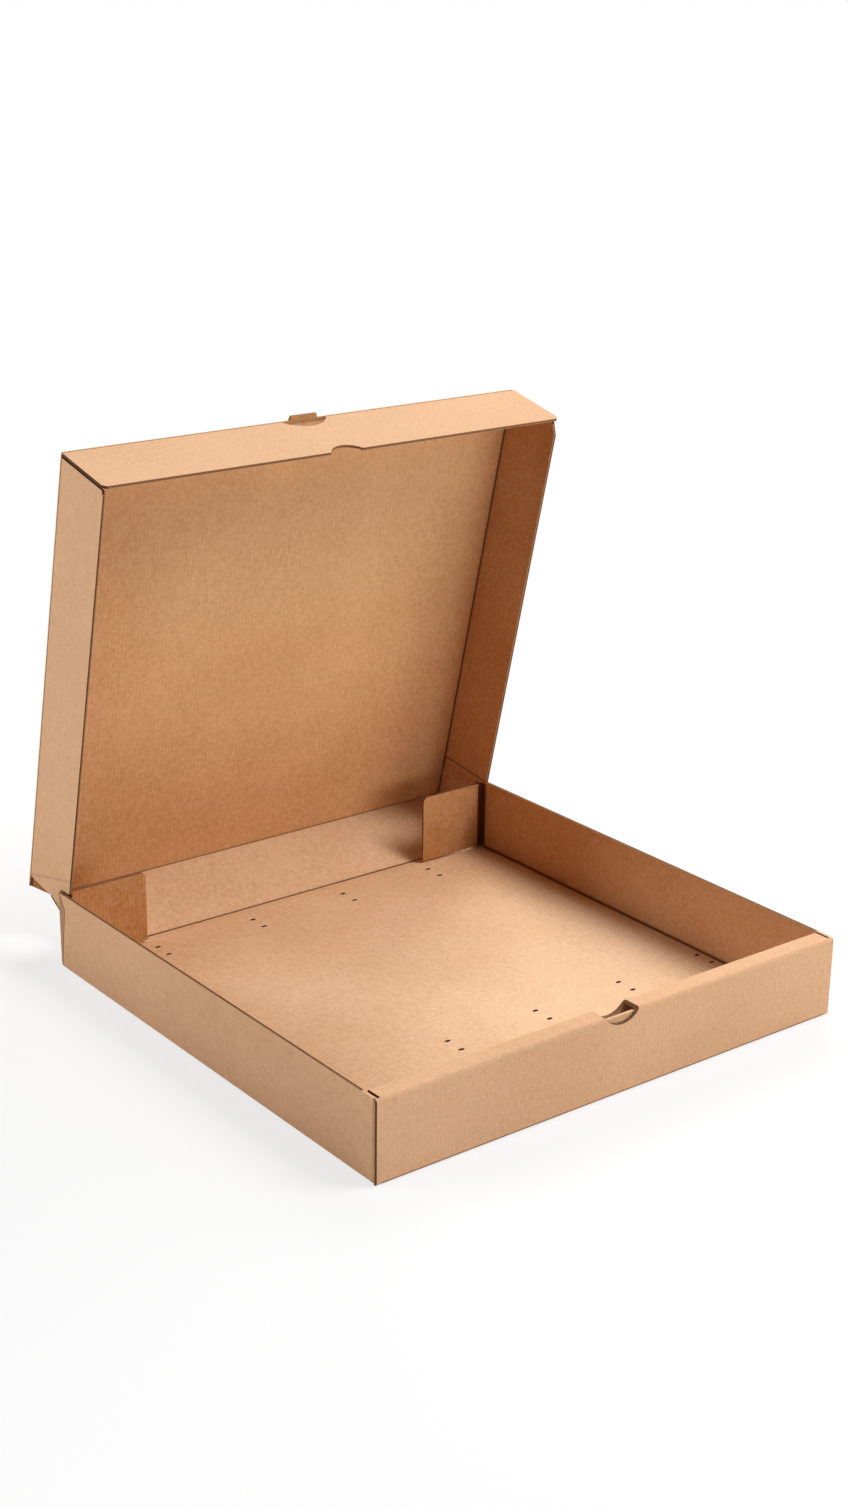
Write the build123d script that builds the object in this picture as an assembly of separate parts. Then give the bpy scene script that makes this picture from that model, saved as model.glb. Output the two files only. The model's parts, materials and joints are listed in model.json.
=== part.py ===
from build123d import *
import math
import os

# Driving dimensions of the box, in millimetres and degrees. The origin is the middle of the underside,
# +X to the right along the front wall, +Y towards the hinged back, +Z up.
board = 1.6  # thickness of the corrugated board
fold_radius = 1.0  # bend radius at the middle of the board
play = 0.3  # gap round each hinged crease
box_width = 308.0  # outside, left to right
box_depth = 305.0  # outside, front to back
wall_height = 46.0  # outside, from the table to the top of the walls

# Front wall, rolled over into a double wall with a flat top strip
roll_depth = 12.0  # outside, from the outer panel to the inner panel
panel_end_gap = 0.3  # end of the outer panel short of the side wall's outer face
strip_end_gap = 1.8  # slot between each end of the strip and the side wall
inner_panel_gap = 0.4  # foot of the inner panel above the floor
thumb_width = 23.0  # half-moon thumb notch across the middle of the roll
thumb_depth = 6.0

# Tabs that fold inward from the ends of the side walls
tab_foot_gap = 1.6  # foot of every tab above the floor
corner_gap = 0.5  # front tabs behind the outer panel
front_tab_left = 178.0  # reaches past the thumb notch
front_tab_right = 110.0
front_tab_top_gap = 0.6  # front tabs below the strip
rear_tab_left = 54.0
rear_tab_right = 50.0
rear_tab_drop = 0.4  # rear tabs below the top of the side walls
rear_tab_chamfer = 2.0
rear_tab_gap = 0.5  # closed back wall behind the bulge of the rear tabs' fold
bulge_radius = 1.2  # bends of that loose fold
bulge_depth = 3.0  # tabs in front of the bulge
groove_width = 4.2  # open groove inside the bulge, between side wall and tab
floor_corner_cut = 1.0  # floor's rear corners under the bulges

# Small oval vents in pairs, in two rows across the floor
vent_length = 3.6
vent_width = 2.0
vent_spacing = 12.0  # within a pair
vents_per_row = 4
back_row_inset = 22.0  # middle of the back pairs from the back edge
back_row_margin = 56.0  # left pair of the back row from the left wall
back_row_end = 54.0  # right pair of the back row from the right wall
front_row_inset = 90.0  # middle of the front pairs from the front edge
front_row_margin = 118.0
front_row_end = 6.5

# Back wall, between the floor's crease and the lid's crease
hinge_width = 272.0
wing_height = 20.0  # wing at the right end of the back wall, below the lid's crease
wing_tip = 8.0  # height of the wing's outer end
wing_gap = 1.3  # wing beside the right flap
lid_rest_gap = 0.4  # closed lid above the side walls
back_lean = 60.0  # leaning back from upright

# Lid, standing open
lid_length = 284.0  # crease to front edge
lid_tilt = 13.3  # leaning forward from upright
lid_side_play = 1.0  # side flaps inside the side walls
flap_depth = 44.5  # outside of the lid to the flaps' free edges
left_flap_root = 20.0  # hinge end of the left flap above the lid's crease, at its own crease
left_flap_end = 42.0  # and at its free edge
right_flap_root = 30.0
right_flap_end = 34.5
left_shoulder = 12.0  # lid's corners at the hinge, cut away below this height
right_shoulder = 3.0
flap_seam = 1.2  # slot between the front flap and the side flaps
left_chamfer_deep = 1.5  # free front corners of the side flaps
left_chamfer_long = 3.0
right_chamfer_deep = 4.0
right_chamfer_long = 8.0
front_flap_chamfer = 2.0
grip_width = 21.0  # half-moon in the front flap's free edge
grip_depth = 6.5
tongue_hole_width = 30.0  # half-moon hole at the front flap's crease
tongue_hole_depth = 9.0
tongue_base = 20.0  # tongue of the lid panel that stands in the hole
tongue_tip = 17.0
tongue_reach = 2.5  # tip beyond the front edge of the lid

# Ears below the side flaps, tucked behind the rear tabs
ear_clearance = 0.4  # ears clear of the rear tabs and the side walls' tops
left_ear_foot = 18.5  # foot of the ear above the lid's crease, next to the lid
left_ear_toe = 22.5  # and behind the rear tab
right_ear_foot = -1.0
right_ear_toe = 16.0

# Sizes that follow from the above
half_board = board / 2
half_width = box_width / 2
half_depth = box_depth / 2
fold_outside = fold_radius + half_board
crease_start = half_board + play
wall_middle = half_width - half_board
tab_foot = board + tab_foot_gap
front_tab_y = -half_depth + board + corner_gap + half_board
bulge_y = half_depth - board - rear_tab_gap - half_board
rear_tab_y = bulge_y - bulge_depth
side_front = front_tab_y + fold_radius
side_rear = bulge_y - bulge_radius
strip_half = half_width - board - strip_end_gap
floor_crease = (0, half_depth - half_board, half_board)
back_height = wall_height + lid_rest_gap
lean = math.radians(back_lean)
lid_crease = (
    0,
    floor_crease[1] + back_height * math.sin(lean),
    floor_crease[2] + back_height * math.cos(lean),
)
lid_half = half_width - board - lid_side_play
side_crease = lid_half - half_board
hinge_half = hinge_width / 2
wing_half = lid_half - board - wing_gap
front_crease = lid_length - half_board
flap_reach = flap_depth - half_board

back_wall_place = Pos(*floor_crease) * Rot(X=-back_lean)
lid_place = Pos(*lid_crease) * Rot(X=lid_tilt)


def half_moon_radius(width, depth):
    """Radius of the circle that cuts a notch of this width and depth into a straight edge."""
    return ((width / 2) ** 2 + depth**2) / (2 * depth)


def bent_board(points, radius):
    """Section of a strip of board that follows a line of points, with round bends between them."""
    return trace(FilletPolyline(*points, radius=radius), board)


def block(x, y, z):
    """A block between two limits on each axis."""
    size = (x[1] - x[0], y[1] - y[0], z[1] - z[0])
    middle = ((x[0] + x[1]) / 2, (y[0] + y[1]) / 2, (z[0] + z[1]) / 2)
    return Pos(*middle) * Box(*size)


def upright_sheet(points, y_middle=0.0):
    """A flat sheet of board that stands upright across the box, from an outline in X and Z."""
    outline = make_face(Polyline(*points, close=True))
    return extrude(Plane.XZ.offset(-y_middle) * outline, amount=half_board, both=True)


def side_sheet(points, x_middle):
    """A flat sheet of board that stands upright along the box, from an outline in Y and Z."""
    outline = make_face(Polyline(*points, close=True))
    return extrude(Plane.YZ.offset(x_middle) * outline, amount=half_board, both=True)


def crease_edge(length):
    """The round edge of a hinged crease, along X through the origin."""
    return Rot(Y=90) * Cylinder(half_board, length)


def floor_and_side_walls():
    """The floor with its two side walls folded up, and its tongue to the back wall's crease."""
    channel = bent_board(
        [
            (-wall_middle, wall_height),
            (-wall_middle, half_board),
            (wall_middle, half_board),
            (wall_middle, wall_height),
        ],
        fold_radius,
    )
    walls = extrude(Plane.XZ.offset(-side_rear) * channel, amount=side_rear - side_front)
    floor_half = half_width - fold_outside
    overlap = fold_outside
    front = block(
        (-floor_half, floor_half),
        (-half_depth + fold_outside, side_front + overlap),
        (0, board),
    )
    right_edge = [
        (floor_half, side_rear - overlap),
        (floor_half, side_rear),
        (floor_half - floor_corner_cut, bulge_y + half_board),
        (hinge_half, floor_crease[1]),
    ]
    left_edge = [(-x, y) for x, y in reversed(right_edge)]
    rear_outline = make_face(Polyline(*right_edge, *left_edge, close=True))
    rear = extrude(rear_outline, amount=board)
    return walls + front + rear + Pos(*floor_crease) * crease_edge(hinge_width)


def vents():
    """Cutters for the pairs of oval vents in the floor."""
    rows = [
        (back_row_margin, back_row_end, half_depth - back_row_inset),
        (front_row_margin, front_row_end, front_row_inset - half_depth),
    ]
    oval = extrude(SlotOverall(vent_length, vent_width), amount=2 * board, both=True)
    cutters = []
    for margin, end, middle in rows:
        pitch = (box_width - margin - end) / (vents_per_row - 1)
        for index in range(vents_per_row):
            x = margin - half_width + pitch * index
            cutters += [Pos(x, middle + side * vent_spacing / 2) * oval for side in (-1, 1)]
    return cutters


def rolled_front_wall():
    """The front wall: up, over a flat strip and down again inside, with a thumb notch in the middle."""
    outer = -half_depth + half_board
    inner = -half_depth + roll_depth - half_board
    section = bent_board(
        [
            (outer + 2 * fold_radius, half_board),
            (outer, half_board),
            (outer, wall_height - half_board),
            (inner, wall_height - half_board),
            (inner, board + inner_panel_gap),
        ],
        fold_radius,
    )
    roll = extrude(Plane.YZ * section, amount=half_width - panel_end_gap, both=True)
    for side in (-1, 1):
        ends = sorted((side * strip_half, side * (half_width + board)))
        behind = (-half_depth + board, -half_depth + roll_depth + board)
        roll -= block(ends, behind, (fold_outside, wall_height + board))
    radius = half_moon_radius(thumb_width, thumb_depth)
    notch = Pos(0, -half_depth, wall_height - thumb_depth + radius) * Rot(X=90)
    return roll - notch * Cylinder(radius, 4 * roll_depth)


def front_tab(side, length):
    """A side wall's front tab, bent round the corner and lying inside the rolled front wall."""
    wall = side * wall_middle
    bend_end = side * (wall_middle - fold_radius)
    tip = side * (wall_middle - length)
    corner = bent_board(
        [(wall, side_front + board), (wall, front_tab_y), (bend_end - side * board, front_tab_y)],
        fold_radius,
    )
    bend = extrude(Plane.XY.offset(fold_outside) * corner, amount=wall_height - fold_outside)
    tab_top = wall_height - board - front_tab_top_gap
    above_tab = block(
        sorted((bend_end, bend_end - side * 2 * board)),
        (front_tab_y - board, front_tab_y + board),
        (tab_top, wall_height + board),
    )
    below_tab = block(
        sorted((bend_end, bend_end - side * 2 * board)),
        (front_tab_y - board, front_tab_y + board),
        (0, tab_foot),
    )
    sheet = upright_sheet(
        [(bend_end, tab_foot), (bend_end, tab_top), (tip, tab_top), (tip, tab_foot)], front_tab_y
    )
    return bend - above_tab - below_tab + sheet


def rear_tab(side, length):
    """A side wall's rear tab: the loose fold bulges back, then the tab stands in front of the back wall."""
    wall = side * wall_middle
    turn = side * (wall_middle - board - groove_width)
    bend_end = turn - side * bulge_radius
    tip = side * (wall_middle - length)
    tab_top = wall_height - rear_tab_drop
    corner = bent_board(
        [
            (wall, side_rear - board),
            (wall, bulge_y),
            (turn, bulge_y),
            (turn, rear_tab_y),
            (bend_end - side * board, rear_tab_y),
        ],
        bulge_radius,
    )
    bend = extrude(Plane.XY.offset(tab_foot) * corner, amount=tab_top - tab_foot)
    sheet = upright_sheet(
        [
            (bend_end, tab_foot),
            (bend_end, tab_top),
            (tip + side * rear_tab_chamfer, tab_top),
            (tip, tab_top - rear_tab_chamfer),
            (tip, tab_foot),
        ],
        rear_tab_y,
    )
    return bend + sheet


def tray():
    """The base of the box, one folded sheet: floor, side walls, rolled front wall and corner tabs."""
    folded = floor_and_side_walls() + rolled_front_wall()
    folded += front_tab(-1, front_tab_left) + front_tab(1, front_tab_right)
    folded += rear_tab(-1, rear_tab_left) + rear_tab(1, rear_tab_right)
    return folded - vents()


def back_wall():
    """The back wall, from the floor's crease to the round edge at the lid's crease, with a wing."""
    sheet = upright_sheet(
        [
            (-hinge_half, crease_start),
            (hinge_half, crease_start),
            (hinge_half, back_height - wing_height),
            (wing_half, back_height - wing_tip),
            (wing_half, back_height),
            (-hinge_half, back_height),
        ]
    )
    edge_middle = ((wing_half - hinge_half) / 2, 0, back_height)
    return back_wall_place * (sheet + Pos(*edge_middle) * crease_edge(hinge_half + wing_half))


def lid_panel():
    """The lid's main panel: a neck at the crease, cut-away shoulders, round creases and a tongue."""
    panel = upright_sheet(
        [
            (wing_half, crease_start),
            (side_crease, right_shoulder),
            (side_crease, front_crease),
            (-side_crease, front_crease),
            (-side_crease, left_shoulder),
            (-hinge_half, crease_start),
        ]
    )
    panel += Pos(0, 0, front_crease) * crease_edge(2 * side_crease)
    for side, shoulder in ((-1, left_shoulder), (1, right_shoulder)):
        crease_length = front_crease - shoulder
        middle = (side * side_crease, 0, shoulder + crease_length / 2)
        panel += Pos(*middle) * Cylinder(half_board, crease_length)
    tip = lid_length + tongue_reach
    root = front_crease - board
    panel += upright_sheet(
        [
            (-tongue_base / 2, root),
            (tongue_base / 2, root),
            (tongue_tip / 2, tip),
            (-tongue_tip / 2, tip),
        ]
    )
    return lid_place * panel


def front_flap():
    """The lid's front flap, with the tongue's hole at its crease and a grip in its free edge."""
    chamfer = front_flap_chamfer
    outline = make_face(
        Polyline(
            (-lid_half, -crease_start),
            (lid_half, -crease_start),
            (lid_half, chamfer - flap_reach),
            (lid_half - chamfer, -flap_reach),
            (chamfer - lid_half, -flap_reach),
            (-lid_half, chamfer - flap_reach),
            close=True,
        )
    )
    hole_radius = half_moon_radius(tongue_hole_width, tongue_hole_depth)
    grip_radius = half_moon_radius(grip_width, grip_depth)
    outline -= Pos(0, hole_radius - half_board - tongue_hole_depth) * Circle(hole_radius)
    outline -= Pos(0, -flap_reach + grip_depth - grip_radius) * Circle(grip_radius)
    sheet = extrude(Plane.XY.offset(front_crease) * outline, amount=half_board, both=True)
    return lid_place * sheet


def on_lid(y, z):
    """A point of the open box as depth in front of the lid and height along it from its crease."""
    tilt = math.radians(lid_tilt)
    back, up = lid_crease[1] - y, z - lid_crease[2]
    depth = back * math.cos(tilt) - up * math.sin(tilt)
    height = back * math.sin(tilt) + up * math.cos(tilt)
    return depth, height


def end_height(root, end, depth):
    """Height of a side flap's slanting hinge end at this depth."""
    return root + (end - root) * depth / flap_reach


def side_flap(side, root, end, chamfer_deep, chamfer_long):
    """One of the lid's side flaps, creased at its hinge end and chamfered at its free front corner."""
    front_end = front_crease - half_board - flap_seam
    outline = [
        (-crease_start, end_height(root, end, crease_start)),
        (-crease_start, front_end),
        (chamfer_deep - flap_reach, front_end),
        (-flap_reach, front_end - chamfer_long),
        (-flap_reach, end),
    ]
    return lid_place * side_sheet(outline, side * side_crease)


def ear(side, root, end, foot, toe):
    """An ear that goes on from a side flap's hinge end, over the rear tab's top and down behind it."""
    over = wall_height + ear_clearance
    behind = bulge_y + half_board + ear_clearance
    step_depth, step_height = on_lid(behind, over)
    slope = math.tan(math.radians(lid_tilt))
    outline = [
        (-crease_start, end_height(root, end, crease_start) - play),
        (-flap_reach, end - play),
        (-flap_reach, step_height + (flap_reach - step_depth) * slope),
        (-step_depth, step_height),
        (-step_depth - (step_height - toe) * slope, toe),
        (-crease_start, foot),
    ]
    return lid_place * side_sheet(outline, side * side_crease)


parts = {
    "tray": tray(),
    "back_wall": back_wall(),
    "lid_panel": lid_panel(),
    "front_flap": front_flap(),
    "left_flap": side_flap(-1, left_flap_root, left_flap_end, left_chamfer_deep, left_chamfer_long),
    "right_flap": side_flap(1, right_flap_root, right_flap_end, right_chamfer_deep, right_chamfer_long),
    "left_ear": ear(-1, left_flap_root, left_flap_end, left_ear_foot, left_ear_toe),
    "right_ear": ear(1, right_flap_root, right_flap_end, right_ear_foot, right_ear_toe),
}

os.makedirs("parts", exist_ok=True)
for name, solid in parts.items():
    export_step(solid, f"parts/{name}.step")
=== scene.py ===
import json
import math

import bpy
from mathutils import Matrix, Vector


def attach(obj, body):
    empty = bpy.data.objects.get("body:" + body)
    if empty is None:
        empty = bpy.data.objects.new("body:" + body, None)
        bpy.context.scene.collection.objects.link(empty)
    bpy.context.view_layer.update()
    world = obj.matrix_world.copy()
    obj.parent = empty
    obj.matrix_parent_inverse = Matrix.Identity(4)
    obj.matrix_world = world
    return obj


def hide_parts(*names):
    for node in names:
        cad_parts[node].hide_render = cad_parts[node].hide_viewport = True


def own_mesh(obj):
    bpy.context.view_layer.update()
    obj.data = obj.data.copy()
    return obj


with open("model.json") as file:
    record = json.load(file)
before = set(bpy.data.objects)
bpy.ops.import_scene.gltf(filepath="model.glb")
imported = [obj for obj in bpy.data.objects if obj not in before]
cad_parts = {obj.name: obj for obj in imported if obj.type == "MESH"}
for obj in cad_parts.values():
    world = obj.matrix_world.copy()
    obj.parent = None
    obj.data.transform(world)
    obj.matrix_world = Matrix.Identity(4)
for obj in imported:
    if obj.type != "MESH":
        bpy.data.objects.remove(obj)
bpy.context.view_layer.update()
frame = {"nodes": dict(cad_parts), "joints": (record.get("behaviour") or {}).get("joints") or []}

# The box's own sizes, in metres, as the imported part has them
BOARD = 0.0016
FLUTE = 0.0024
HALF_WIDTH = 0.154
HALF_DEPTH = 0.1525
WALL_HEIGHT = 0.046
ROLL_INSIDE = 0.012 - HALF_DEPTH
REAR_TAB = 0.1466
STRIP_HALF = 0.1506
NOTCH_RADIUS = 0.01402
NOTCH_AXIS = 0.05402
LEFT_SHOULDER = 0.012
RIGHT_SHOULDER = 0.003
TONGUE_HOLE = 0.0150
FLAP_REACH = 0.0437

# The side flaps' lower ends above the lid's crease: at the fold and at the free edge
LEFT_END = (0.0200, 0.0420)
RIGHT_END = (0.0300, 0.0345)

# The creases, from the frame's joints
JOINTS = {joint["name"]: joint for joint in frame["joints"]}
FLOOR_CREASE = Vector(JOINTS["back_wall_hinge"]["pos_m"])
LID_CREASE = Vector(JOINTS["lid_hinge"]["pos_m"])
LID_UP = Vector(JOINTS["right_flap_hinge"]["axis"]).normalized()
LID_FRONT = Vector((0, -LID_UP.z, LID_UP.y))
LID_TILT = math.atan2(-LID_UP.y, LID_UP.z)
BACK_UP = (LID_CREASE - FLOOR_CREASE).normalized()
BACK_LEAN = math.atan2(BACK_UP.y, BACK_UP.z)
BACK_HEIGHT = (LID_CREASE - FLOOR_CREASE).length
SIDE_CREASE = JOINTS["right_flap_hinge"]["pos_m"][0]
FRONT_CREASE = (Vector(JOINTS["front_flap_hinge"]["pos_m"]) - LID_CREASE).length

# Webs below the side flaps: the creases below the flap's end and how far each stands out, the gap to the
# flap that is closed, and each foot's shift along the fold
WEB_CREASES = (0.004, 0.009)
WEB_SHIFTS = (0.0003, -0.0003)
WEB_GAP = 0.0003
LEFT_FOOT_SHIFT = 0.0012
RIGHT_FOOT_SHIFT = -0.0045
ON_CREASE = 0.00036
NEAR_FOLD = 0.0016
NEAR_FOOT = 0.0004

# Crushed ends of folds, dark lumps that are partly painted shade: middle and size, and how round and
# wrinkled they are
FOLD_FOOT = (0.1502, 0.1490, 0.0026)
FOLD_FOOT_SIZE = (0.0042, 0.0030, 0.0018)
CREASE_END = (0.14867, 0.1914, 0.0244)
CREASE_END_SIZE = (0.00265, 0.0020, 0.0036)
CRUSHED_ROUND = 0.0004
CRUSHED_WRINKLE = 0.0002

# Places on the tray for its looks, each pair a soft edge from nothing to full
HAIR = 0.0001
FOOT_SIDE = (0.1503, 0.1521)
FOOT_RISE = (0.0019, 0.0038)
# painted shade: the dark groove in each rear corner
GROOVE_DEPTH = (0.1440, 0.1456)
GROOVE_SIDE = (0.1464, 0.1478)
GROOVE_END = 0.1530
# painted shade on the outer face of the bulged rear folds
BULGE_SHADE_HEIGHT = 0.037
BULGE_SHADE_BELOW, BULGE_SHADE_ABOVE = 0.15, 0.6
BULGE_SHADE_LINE = (0.1421, 0.1425)
BULGE_SHADE_FADE = (0.1428, 0.1434)
TAB_TOP = 0.006
TAB_TIP = 0.125
VENT_ZONE = 0.151
CUT_SKIN = 0.00012
# painted shade: where the floor is made darker, towards its left and its rear
PAINTED_SHADE_LEFT = (-0.15, 0.0)
PAINTED_SHADE_REAR = (0.02, 0.14)

# How much of its normal a face has along a direction when it counts as facing that way
MOSTLY = 0.8
HALFWAY = 0.5

# How pale the inside liner is on each panel, from 0 to 1, and what is added or taken in places
# painted light and painted shade: one board, made paler or darker panel by panel by how each is lit, and in
# the places below
WALL_PALE = 0.33
# painted light: the floor, which faces up, is made paler than the walls
FLOOR_PAINTED_LIGHT = 0.55
# painted shade: the floor darker towards its left and rear
FLOOR_PAINTED_SHADE = 0.20
# painted shade: the rear tabs, under the lid's overhang, are made darker
TAB_PAINTED_SHADE = 0.28
BACK_WALL_PALE = 0.7
LID_PALE = 0.50
# painted shade: the lid's inside is darker low down, by the tray, and paler higher up
LID_TOP_PAINTED_LIGHT = 0.16
# painted light: a soft pale patch in the middle of the lid's inside
LID_MIDDLE_PAINTED_LIGHT = 0.18
# painted shade: the lid's lower corners, between flap, tab and back wall
LID_CORNER_PAINTED_SHADE = 0.55
# painted shade: the tongue, standing in the flap's hole, is made darker
TONGUE_PAINTED_SHADE = 0.6
FRONT_FLAP_PALE = 0.5
SIDE_FLAP_PALE = 0.2
CRUSHED_PALE = 0.3

# The photograph's frame and the camera that fits it
PHOTO_WIDTH, PHOTO_HEIGHT = 848, 1508
FOCAL_PIXELS = 2253.6
MIDDLE = (410.9, 792.5)
EYE = (-0.70573, -0.89634, 0.55133)
FORWARD = (0.56853, 0.74188, -0.35551)
RIGHT = (0.79577, -0.60553, 0.00897)
SENSOR = 36

# Light: name, place, size and power of each lamp, and the point that all of them face
LAMP_AIM = (0, 0, 0.1)
LAMPS = [
    ("key", (1.1, -1.0, 1.5), (0.6, 0.6), 13.5),
    ("key_high", (0.8, -0.7, 2.0), (0.8, 0.8), 26),
    ("right", (1.8, 0.2, 1.3), (1.0, 1.0), 9),
    ("right_back", (1.4, 1.2, 1.5), (1.0, 1.0), 30),
    ("left_back", (-1.5, 0.9, 0.8), (1.0, 1.0), 19),
    ("front_low", (0.6, -2.0, 0.3), (1.0, 0.4), 9.5),
]

# The floor: how much of it is plain white to the camera near the box, and where that grows to all of it
FLOOR_GLOW = 0.72
FLOOR_FADE = (0.3, 0.9)
FLOOR_SIZE = 12
FLOOR_DROP = 0.0002
FLOOR_GREY = 0.86


class Wire:
    """A shader socket: arithmetic on it adds Math nodes, and make() adds any other node."""

    def __init__(self, tree, socket=None):
        self.tree = tree
        self.socket = socket

    def make(self, kind, settings=None, inputs=None, output=0):
        node = self.tree.nodes.new(kind)
        for name, value in (settings or {}).items():
            setattr(node, name, value)
        for name, value in (inputs or {}).items():
            target = node.inputs[name]
            if isinstance(value, Wire):
                self.tree.links.new(value.socket, target)
            else:
                target.default_value = value
        return Wire(self.tree, node.outputs[output] if node.outputs else None)

    def outputs(self, kind, inputs=None):
        """All outputs of a new node, by name."""
        sockets = self.make(kind, inputs=inputs).socket.node.outputs
        return {socket.name: Wire(self.tree, socket) for socket in sockets}

    def maths(self, operation, *values):
        return self.make("ShaderNodeMath", {"operation": operation}, dict(enumerate(values)))

    def __add__(self, other):
        return self.maths("ADD", self, other)

    def __radd__(self, other):
        return self.maths("ADD", other, self)

    def __sub__(self, other):
        return self.maths("SUBTRACT", self, other)

    def __rsub__(self, other):
        return self.maths("SUBTRACT", other, self)

    def __mul__(self, other):
        return self.maths("MULTIPLY", self, other)

    def __truediv__(self, other):
        return self.maths("DIVIDE", self, other)

    def __gt__(self, other):
        return self.maths("GREATER_THAN", self, other)

    def __lt__(self, other):
        return self.maths("LESS_THAN", self, other)

    def __abs__(self):
        return self.maths("ABSOLUTE", self)

    def sine(self):
        return self.maths("SINE", self)

    def root(self):
        return self.maths("SQRT", self)

    def step(self, low, high):
        """0 below low, 1 above high, smooth between."""
        return self.make(
            "ShaderNodeMapRange",
            {"interpolation_type": "SMOOTHSTEP"},
            {"Value": self, "From Min": low, "From Max": high},
        )

    def mix(self, first, second):
        """A colour between two, by this value."""
        return self.make(
            "ShaderNodeMix",
            {"data_type": "RGBA"},
            {"Factor": self, 6: first, 7: second},
            output=2,
        )


def most(first, *others):
    """The largest of several values: of masks, 1 where any of them is."""
    for other in others:
        first = first.maths("MAXIMUM", first, other)
    return first


def srgb(red, green, blue):
    """A colour from its usual 0 to 255 values, as the shader needs it."""
    def linear(value):
        value /= 255
        return value / 12.92 if value <= 0.04045 else ((value + 0.055) / 1.055) ** 2.4

    return (linear(red), linear(green), linear(blue), 1.0)


OUTSIDE_DARK = srgb(202, 157, 118)
OUTSIDE_PALE = srgb(221, 176, 138)
# the inside liner's darker tone: partly its own, partly deepened and saturated as painted shade
INSIDE_DARK = srgb(172, 106, 32)
INSIDE_PALE = srgb(236, 201, 166)
# painted light: the lid's inside liner, tinted golden as by light bounced between floor and lid
LID_INSIDE_PAINTED_BOUNCE = srgb(241, 196, 150)
FIBRE = srgb(158, 108, 68)
CUT_PALE = srgb(172, 126, 88)
CUT_DARK = srgb(84, 52, 30)
# scored folds' dark colour, also painted shade in creases, grooves, bends, slots and crushed ends
SCORE_AND_SHADE = srgb(108, 58, 24)


def new_material(name):
    """An empty material, and a wire to build it from."""
    material = bpy.data.materials.new(name)
    material.use_nodes = True
    material.node_tree.nodes.clear()
    return material, Wire(material.node_tree)


def local_point(start, crease, tilt):
    """Object coordinates with the given crease as origin and the panel turned upright."""
    point = start.make("ShaderNodeTexCoord", output="Object")
    turn = Matrix.Rotation(-tilt, 3, "X")
    return start.make(
        "ShaderNodeMapping",
        {"vector_type": "POINT"},
        {"Vector": point, "Rotation": (-tilt, 0, 0), "Location": tuple(-(turn @ crease))},
    )


class Spot:
    """Where the shader is: the local point (x, y, z) and the surface's own direction (nx, ny, nz)."""

    def __init__(self, start, point):
        normal = start.make("ShaderNodeTexCoord", output="Normal")
        for vector, prefix in ((point, ""), (normal, "n")):
            for axis, wire in start.outputs("ShaderNodeSeparateXYZ", {"Vector": vector}).items():
                setattr(self, prefix + axis.lower(), wire)


def kraft_board(name, crease, tilt, look, inner_pale=INSIDE_PALE):
    """Brown corrugated board: two liners with fibres and faint flutes, scored folds with painted shade and
    open cut edges.

    look takes the spot and returns five masks: the inside liner, the scored folds with painted shade, the
    cut edges, how pale the cut is there, and how pale the inside liner is, with painted light and shade in
    it.
    """
    material, start = new_material(name)
    point = local_point(start, crease, tilt)
    spot = Spot(start, point)

    def noise(scale, detail, stretch=(1, 1, 1), roughness=0.5):
        spread = start.make("ShaderNodeMapping", inputs={"Vector": point, "Scale": stretch})
        return start.make(
            "ShaderNodeTexNoise",
            inputs={"Vector": spread, "Scale": scale, "Detail": detail, "Roughness": roughness},
        )

    cloud = noise(scale=11, detail=2)
    mottle = noise(scale=380, detail=4, roughness=0.7)
    along = noise(scale=800, detail=2, stretch=(1, 0.15, 0.15))
    specks = noise(scale=1300, detail=1, stretch=(1, 0.4, 0.4))
    flute = (spot.x * (2 * math.pi / FLUTE) + noise(scale=30, detail=2) * 1.5).sine()

    inside, score_and_shade, cut, pale, pale_and_painted_light = look(spot)
    tone = (cloud * 0.32 + mottle * 0.56 + along * 0.12 + flute * 0.025).step(0.26, 0.74)
    # painted light and painted shade: each panel's paleness, by place, is mixed into the inside liner's
    # tone
    inner_tone = tone * 0.4 + pale_and_painted_light * 0.6
    outer_liner = tone.mix(OUTSIDE_DARK, OUTSIDE_PALE)
    inner_liner = inner_tone.mix(INSIDE_DARK, inner_pale)
    liner = inside.mix(outer_liner, inner_liner)
    liner = (specks.step(0.66, 0.80) * 0.5).mix(liner, FIBRE)
    liner = score_and_shade.mix(liner, SCORE_AND_SHADE)
    colour = cut.mix(liner, pale.mix(CUT_DARK, CUT_PALE))

    height = flute * 0.3 + mottle * 0.5 + along * 0.3
    bump = start.make("ShaderNodeBump", inputs={"Strength": 0.12, "Distance": 0.0004, "Height": height})
    rough = 0.78 + mottle * 0.16
    shader = start.make(
        "ShaderNodeBsdfPrincipled",
        inputs={"Base Color": colour, "Roughness": rough, "Normal": bump, "Specular IOR Level": 0.25},
    )
    start.make("ShaderNodeOutputMaterial", inputs={"Surface": shader})
    return material


def plain_cut(across):
    """A cut along the flutes: the two liners with a duller line of crushed fluting between."""
    return abs(across).step(0.22, 0.42)


def wavy_cut(along, across):
    """A cut across the flutes: the two liners and the wave of fluting between them."""
    wave = (along * (2 * math.pi / FLUTE)).sine() * 0.3
    fluting = 1 - abs(across - wave).step(0.10, 0.22)
    return most(abs(across).step(0.30, 0.40), fluting)


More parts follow.
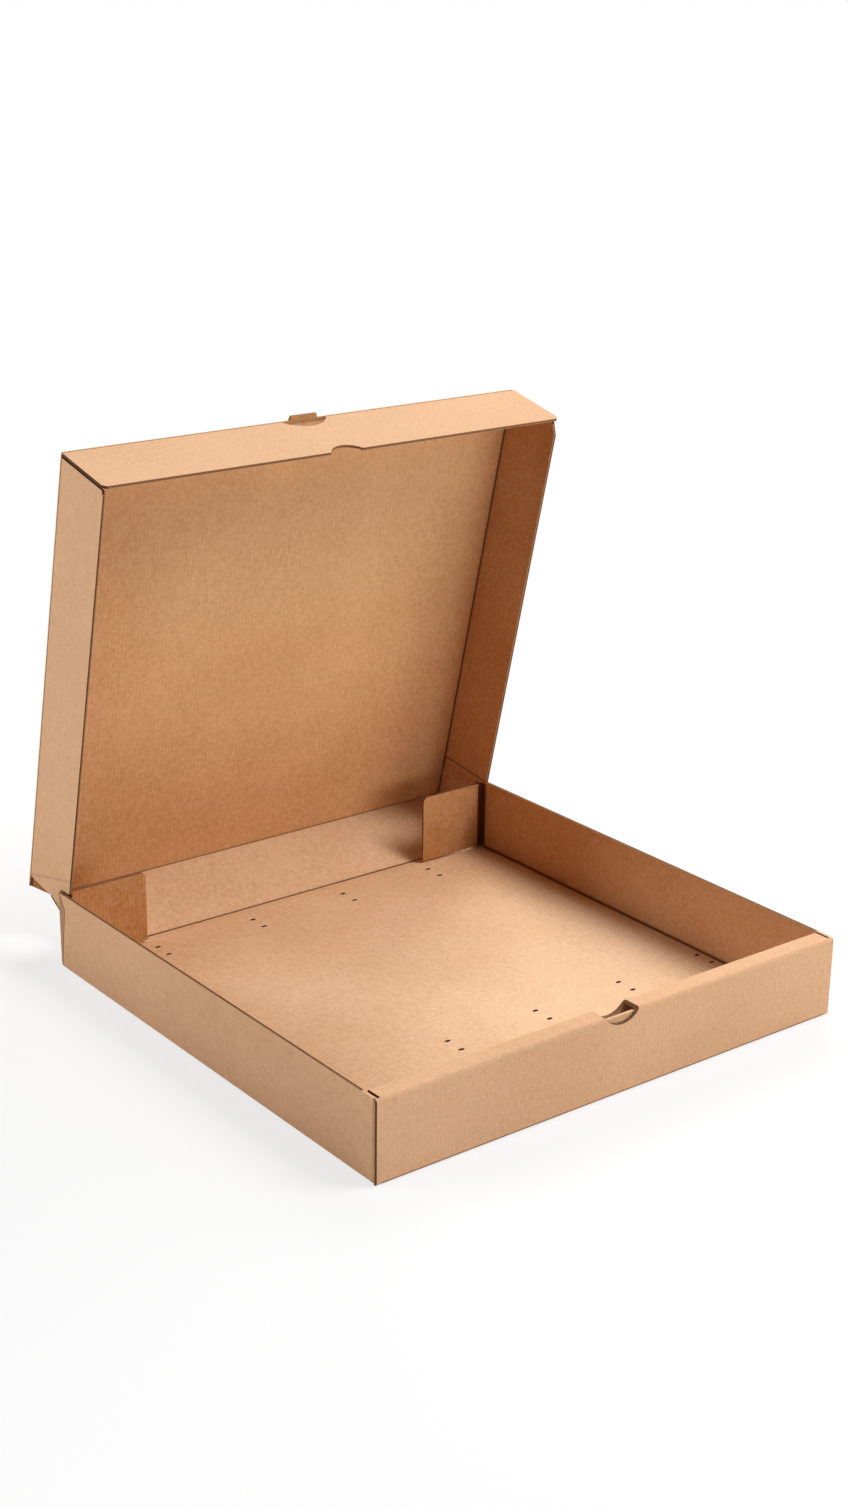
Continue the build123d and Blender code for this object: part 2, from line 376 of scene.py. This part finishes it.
def tray_score_and_shade(p, inside, behind_roll):
    """The tray's dark lines: scored walls' feet with painted shade, and painted shade in the rear corners'
    grooves, on the bulged rear folds and in the roll's slots.
    """
    wide = abs(p.x)
    foot = wide.step(*FOOT_SIDE) * (1 - p.z.step(*FOOT_RISE)) * inside
    corner = p.y.step(*GROOVE_DEPTH) * wide.step(*GROOVE_SIDE)
    # painted shade in the rear corners' grooves
    groove_shade = corner * (wide < GROOVE_END) * (p.z > BOARD + 2 * HAIR)
    # painted shade along the bulged rear folds, on the walls' outer face
    taper = most((BULGE_SHADE_HEIGHT - p.z) * BULGE_SHADE_BELOW, (p.z - BULGE_SHADE_HEIGHT) * BULGE_SHADE_ABOVE)
    line = (p.y - taper).step(*BULGE_SHADE_LINE) - (p.y - taper).step(*BULGE_SHADE_FADE) * 0.45
    bulge_shade = line * (wide > HALF_WIDTH - HAIR) * 0.8
    # painted shade in the roll's slots at the front corners
    slot = (wide > STRIP_HALF + HAIR) * (wide < HALF_WIDTH - BOARD + 2 * HAIR) * (1 - behind_roll)
    slot = slot * (p.z < WALL_HEIGHT - 3 * HAIR) * (p.z > BOARD) * (p.y > BOARD * 1.1 - HALF_DEPTH)
    return most(foot, groove_shade, bulge_shade, slot * 0.9)


def tray_cut(p, behind_roll):
    """The tray's cut edges, and how pale each is."""
    wide = abs(p.x)
    tab_zone = p.y > REAR_TAB - BOARD * 0.55
    side_top = (p.z > WALL_HEIGHT - 2 * HAIR) * (wide > HALF_WIDTH - BOARD - HAIR) * behind_roll
    tab_top = tab_zone * (p.z > WALL_HEIGHT - TAB_TOP) * (p.nz > 0.3)
    tab_tip = tab_zone * (abs(p.nx) > MOSTLY) * (wide < TAB_TIP)
    end_on = (abs(p.nx) > MOSTLY) * (p.y < ROLL_INSIDE + HAIR)
    panel_end = end_on * (wide < HALF_WIDTH - HAIR) * (p.y < BOARD * 1.1 - HALF_DEPTH)
    # the strip's ends take the darkest cut colour: painted shade in the slots
    strip_end = end_on * (wide < STRIP_HALF + 3 * HAIR)
    rise = p.z - NOTCH_AXIS
    ring = abs((p.x * p.x + rise * rise).root() - NOTCH_RADIUS) < CUT_SKIN
    notch = ring * (p.y < ROLL_INSIDE + 5 * HAIR) * (p.z < WALL_HEIGHT + HAIR)
    vent = (abs(p.nz) < HALFWAY) * (p.z > HAIR) * (p.z < BOARD - HAIR) * (wide < VENT_ZONE)

    side = plain_cut((wide - (HALF_WIDTH - BOARD / 2)) / BOARD)
    tab = (p.y - REAR_TAB) / BOARD
    pale = side_top * side + tab_top * plain_cut(tab) + tab_tip * wavy_cut(p.z, tab) + notch * 0.25
    return most(side_top, tab_top, tab_tip, panel_end, strip_end, notch, vent), pale


def tray_look(p):
    """The tray: inside liner on floor, walls and tabs with painted light and shade, scored folds with
    painted shade at the walls' feet, cut edges.
    """
    behind_roll = p.y > ROLL_INSIDE + HAIR
    inside = (abs(p.x) < HALF_WIDTH - BOARD / 2) * (p.z > BOARD / 2)
    inside = inside * behind_roll * (p.y < REAR_TAB + 4 * HAIR)
    floor = p.nz.step(0.8, 0.9)
    tab_face = (p.y > REAR_TAB - BOARD * 0.55) * (p.z > BOARD + 0.001)
    # painted shade on the floor's left and rear
    floor_shade_zone = most(1 - p.x.step(*PAINTED_SHADE_LEFT), p.y.step(*PAINTED_SHADE_REAR))
    # painted light on the up-facing floor, painted shade on its left and rear and on the rear tabs
    pale_and_painted_light = WALL_PALE + floor * (FLOOR_PAINTED_LIGHT - floor_shade_zone * FLOOR_PAINTED_SHADE) - tab_face * TAB_PAINTED_SHADE
    cut, pale = tray_cut(p, behind_roll)
    return inside, tray_score_and_shade(p, inside, behind_roll), cut, pale, pale_and_painted_light


def back_wall_look(p):
    """The back wall: inside liner in front with painted light, a scored line with painted shade along its
    foot, cut ends.
    """
    flat_on = abs(p.nz * math.sin(BACK_LEAN) - p.ny * math.cos(BACK_LEAN))
    edge = (flat_on < HALFWAY) * (p.z < BACK_HEIGHT - 9 * HAIR)
    score_and_shade = (1 - p.z.step(0.0010, 0.0024)) * 0.4
    cut = most(edge, abs(p.nx) > HALFWAY)
    return p.y < 0, score_and_shade, cut, plain_cut(p.y / BOARD), p.x * 0 + BACK_WALL_PALE


def lid_look(p):
    """The lid panel: inside liner in front with painted light and shade, scored lines with painted shade
    along its creases, cut shoulders and tongue.
    """
    wide = abs(p.x)
    edge_on = abs(p.ny * LID_FRONT.y + p.nz * LID_FRONT.z) < HALFWAY
    left = (p.x < 0) * (p.z < LEFT_SHOULDER + 3 * HAIR)
    right = (p.x > 0) * (p.z < RIGHT_SHOULDER + 3 * HAIR)
    tongue = p.z > FRONT_CREASE + BOARD / 2 + HAIR
    cut = edge_on * most(left, right, tongue)
    inside = p.y < 0

    sides = wide.step(SIDE_CREASE - 0.0018, SIDE_CREASE - 0.0009)
    foot = 1 - p.z.step(0.0010, 0.0022)
    front = p.z.step(FRONT_CREASE - 0.0019, FRONT_CREASE - 0.0010)
    in_hole = (wide < TONGUE_HOLE) * (p.z > FRONT_CREASE / 2)
    score_and_shade = most(sides, foot, front) * inside * (1 - edge_on) * (p.z < FRONT_CREASE + BOARD / 2)
    score_and_shade = score_and_shade * (0.85 - in_hole * 0.35)

    # painted shade in the lid's lower corners
    corner = (1 - p.z.step(0, 0.04)) * wide.step(0.08, 0.15)
    # painted light in the lid's middle
    middle = p.z.step(0.02, 0.14) * (1 - p.z.step(0.16, 0.30)) * (1 - wide.step(0.01, 0.15))
    # painted light and painted shade: paler higher up and in the middle, darker in the lower corners and on
    # the tongue
    pale_and_painted_light = LID_PALE + p.z.step(0, 0.16) * LID_TOP_PAINTED_LIGHT + middle * LID_MIDDLE_PAINTED_LIGHT
    pale_and_painted_light = pale_and_painted_light - corner * LID_CORNER_PAINTED_SHADE - tongue * TONGUE_PAINTED_SHADE
    return inside, score_and_shade, cut, most(wavy_cut(p.x, p.y / BOARD), left * 0.8), pale_and_painted_light


def front_flap_look(p):
    """The front flap: inside liner below, a scored line with painted shade at its crease, cut outline."""
    edge_on = abs(p.ny * LID_UP.y + p.nz * LID_UP.z) < HALFWAY
    inside = p.z < FRONT_CREASE
    pale = wavy_cut(p.x, (p.z - FRONT_CREASE) / BOARD) * (abs(p.x) < SIDE_CREASE - 0.002)
    return inside, p.y.step(-0.0026, -0.0014) * inside, edge_on, pale, p.x * 0 + FRONT_FLAP_PALE


def side_flap_look(p):
    """A side flap or its web: inside liner towards the middle, darker to the top as painted shade, scored
    with painted shade at its crease and where they meet.
    """
    inside = abs(p.x) < SIDE_CREASE
    cut = abs(p.nx) < HALFWAY
    pale = wavy_cut(p.y, (abs(p.x) - SIDE_CREASE) / BOARD) * (p.z < FRONT_CREASE - 0.004)
    right = p.x > 0
    root = LEFT_END[0] + right * (RIGHT_END[0] - LEFT_END[0])
    end = LEFT_END[1] + right * (RIGHT_END[1] - LEFT_END[1])
    seam = 1 - abs(p.z - root + p.y / FLAP_REACH * (end - root)).step(0.0003, 0.0012)
    score_and_shade = most(p.y.step(-0.0028, -0.0014) * inside * 0.85, seam * (0.2 + inside * 0.4))
    # painted shade: the side flaps' inside liner is darker towards their top
    return inside, score_and_shade, cut, pale, SIDE_FLAP_PALE - p.z.step(0.12, 0.30) * 0.2


def crushed_and_shaded_look(p):
    """Board crushed in a tight fold: dark all over, partly as painted shade, with no open cut."""
    everywhere = p.z > -1
    nowhere = p.z < -1
    return everywhere, everywhere * 0.75, nowhere, nowhere, everywhere * CRUSHED_PALE


UPRIGHT = (Vector((0, 0, 0)), 0.0)
ON_BACK_WALL = (FLOOR_CREASE, -BACK_LEAN)
ON_LID = (LID_CREASE, LID_TILT)
side_flap_board = kraft_board("side_flap_board", *ON_LID, side_flap_look)
crushed_board_and_shade = kraft_board("crushed_board_and_shade", *UPRIGHT, crushed_and_shaded_look)
for node, finish in {
    "tray": kraft_board("tray_board", *UPRIGHT, tray_look),
    "back_wall": kraft_board("back_wall_board", *ON_BACK_WALL, back_wall_look),
    "lid_panel": kraft_board("lid_board", *ON_LID, lid_look, LID_INSIDE_PAINTED_BOUNCE),
    "front_flap": kraft_board("front_flap_board", *ON_LID, front_flap_look),
    "left_flap": side_flap_board,
    "right_flap": side_flap_board,
}.items():
    for slot in frame["nodes"][node].material_slots:
        slot.material = finish


def move_vertices(piece, chosen, shift):
    """Moves the chosen vertices of the active piece, in edit mode."""
    for vertex in piece.data.vertices:
        vertex.select = chosen(vertex)
    bpy.ops.object.mode_set(mode="EDIT")
    bpy.ops.transform.translate(value=shift)
    bpy.ops.mesh.select_all(action="DESELECT")
    bpy.ops.object.mode_set(mode="OBJECT")


def creased_web(node, body, root, end, foot_shift, slides):
    """The web below a side flap: it goes on from the flap's slanted end and has soft creases.

    root and end are the flap's lower end above the lid's crease, at its fold and at its free edge, and
    foot_shift moves the web's lowest corner along the fold. slides is not used.
    """
    bpy.ops.object.select_all(action="DESELECT")
    web = frame["nodes"][node].copy()
    web.data = web.data.copy()
    web.name = node + "_web"
    bpy.context.collection.objects.link(web)
    web.select_set(True)
    bpy.context.view_layer.objects.active = web
    start = LID_CREASE + LID_UP * root
    slope = (LID_FRONT * FLAP_REACH + LID_UP * (end - root)).normalized()
    upward = slope.cross(Vector((1, 0, 0)))
    upward = upward if upward.dot(LID_UP) > 0 else -upward

    bpy.ops.object.mode_set(mode="EDIT")
    bpy.ops.mesh.select_all(action="SELECT")
    bpy.ops.mesh.remove_doubles(threshold=1e-6)
    bpy.ops.mesh.dissolve_limited(angle_limit=math.radians(1))
    for drop in WEB_CREASES:
        bpy.ops.mesh.select_all(action="SELECT")
        bpy.ops.mesh.bisect(plane_co=start - upward * drop, plane_no=upward)
    bpy.ops.mesh.select_all(action="DESELECT")
    bpy.ops.object.mode_set(mode="OBJECT")

    moves = [(0, upward * WEB_GAP)]
    moves += [(drop, Vector((shift, 0, 0))) for drop, shift in zip(WEB_CREASES, WEB_SHIFTS)]
    for drop, move in moves:
        move_vertices(web, lambda v: abs((v.co - start).dot(upward) + drop) < ON_CREASE, move)

    def at_fold(vertex):
        return (vertex.co - LID_CREASE).dot(LID_FRONT) < NEAR_FOLD

    def height(vertex):
        return (vertex.co - LID_CREASE).dot(LID_UP)

    foot = min(height(v) for v in web.data.vertices if at_fold(v)) + NEAR_FOOT
    move_vertices(web, lambda v: at_fold(v) and height(v) < foot, LID_UP * foot_shift)
    web.data.materials.clear()
    web.data.materials.append(side_flap_board)
    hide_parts(node)
    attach(web, body)
    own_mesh(web)


def crushed_end_and_shade(name, body, middle, size, seed):
    """A short end of a fold where the board is crushed: a small lump of dark, wrinkled paper, partly
    painted shade.
    """
    bpy.ops.object.select_all(action="DESELECT")
    bpy.ops.mesh.primitive_cube_add(size=1, location=middle, scale=size)
    lump = bpy.context.object
    lump.name = name
    bpy.ops.object.transform_apply(location=True, rotation=True, scale=True)
    bpy.ops.object.mode_set(mode="EDIT")
    bpy.ops.mesh.select_all(action="SELECT")
    bpy.ops.mesh.bevel(offset=CRUSHED_ROUND, segments=2, affect="EDGES")
    bpy.ops.mesh.subdivide(number_cuts=2)
    bpy.ops.transform.vertex_random(offset=CRUSHED_WRINKLE, seed=seed)
    bpy.ops.object.mode_set(mode="OBJECT")
    lump.data.materials.append(crushed_board_and_shade)
    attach(lump, body)


creased_web("left_ear", "left_flap", *LEFT_END, LEFT_FOOT_SHIFT, slides=False)
creased_web("right_ear", "right_flap", *RIGHT_END, RIGHT_FOOT_SHIFT, slides=True)
for side, word in ((-1, "left"), (1, "right")):
    across, back, up = FOLD_FOOT
    crushed_end_and_shade(word + "_fold_foot", "tray", (side * across, back, up), FOLD_FOOT_SIZE, seed=4 + side)
crushed_end_and_shade("right_crease_end", "lid", CREASE_END, CREASE_END_SIZE, seed=7)


def seen_directly(start):
    """1 for rays from the camera, reflected or seen through, and 0 for light that falls on the box."""
    rays = start.outputs("ShaderNodeLightPath")
    seen = rays["Is Camera Ray"] + rays["Is Glossy Ray"] + rays["Is Transmission Ray"]
    return seen.maths("MINIMUM", seen, 1.0)


def white_floor():
    """A wide pale floor that reads as white to the camera and still takes the box's soft shadow."""
    bpy.ops.object.select_all(action="DESELECT")
    bpy.ops.mesh.primitive_plane_add(size=FLOOR_SIZE, location=(0, 0, -FLOOR_DROP))
    floor = bpy.context.object
    floor.name = "floor"
    bpy.ops.object.transform_apply(location=True, rotation=True, scale=True)
    material, start = new_material("floor_white")
    grey = (FLOOR_GREY, FLOOR_GREY, FLOOR_GREY, 1)
    matt = start.make("ShaderNodeBsdfDiffuse", inputs={"Color": grey})
    glow = start.make("ShaderNodeEmission", inputs={"Color": (1, 1, 1, 1), "Strength": 1.0})
    point = start.make("ShaderNodeTexCoord", output="Object")
    reach = start.make("ShaderNodeVectorMath", {"operation": "LENGTH"}, {0: point}, output="Value")
    share = seen_directly(start) * (FLOOR_GLOW + reach.step(*FLOOR_FADE) * (1 - FLOOR_GLOW))
    surface = start.make("ShaderNodeMixShader", inputs={0: share, 1: matt, 2: glow})
    start.make("ShaderNodeOutputMaterial", inputs={"Surface": surface})
    floor.data.materials.append(material)


def white_surround():
    """Plain white surroundings to the camera, which give the box no light of their own."""
    world = bpy.data.worlds.new("surround")
    bpy.context.scene.world = world
    world.use_nodes = True
    world.node_tree.nodes.clear()
    start = Wire(world.node_tree)
    strength = seen_directly(start)
    back = start.make("ShaderNodeBackground", inputs={"Color": (1, 1, 1, 1), "Strength": strength})
    start.make("ShaderNodeOutputWorld", inputs={"Surface": back})


def soft_box(name, place, size, power):
    """A studio lamp that faces the box."""
    lamp = bpy.data.lights.new(name, "AREA")
    lamp.shape = "RECTANGLE"
    lamp.size, lamp.size_y = size
    lamp.energy = power
    holder = bpy.data.objects.new(name, lamp)
    bpy.context.collection.objects.link(holder)
    holder.location = place
    holder.rotation_euler = (Vector(LAMP_AIM) - Vector(place)).to_track_quat("-Z", "Y").to_euler()


def photo_camera():
    """The camera where the photograph was taken from: in front, to the left and above."""
    forward = Vector(FORWARD).normalized()
    right = Vector(RIGHT).normalized()
    up = right.cross(forward)
    lens = bpy.data.cameras.new("camera")
    lens.sensor_width = SENSOR
    lens.lens = FOCAL_PIXELS * SENSOR / PHOTO_HEIGHT
    lens.shift_x = (PHOTO_WIDTH / 2 - MIDDLE[0]) / PHOTO_HEIGHT
    lens.shift_y = (MIDDLE[1] - PHOTO_HEIGHT / 2) / PHOTO_HEIGHT
    lens.clip_start = 0.01
    camera = bpy.data.objects.new("camera", lens)
    bpy.context.collection.objects.link(camera)
    turn = Matrix((right, up, -forward)).transposed().to_4x4()
    camera.matrix_world = Matrix.Translation(EYE) @ turn
    bpy.context.scene.camera = camera


white_floor()
white_surround()
for lamp in LAMPS:
    soft_box(*lamp)
photo_camera()
bpy.context.scene.view_settings.view_transform = "Standard"
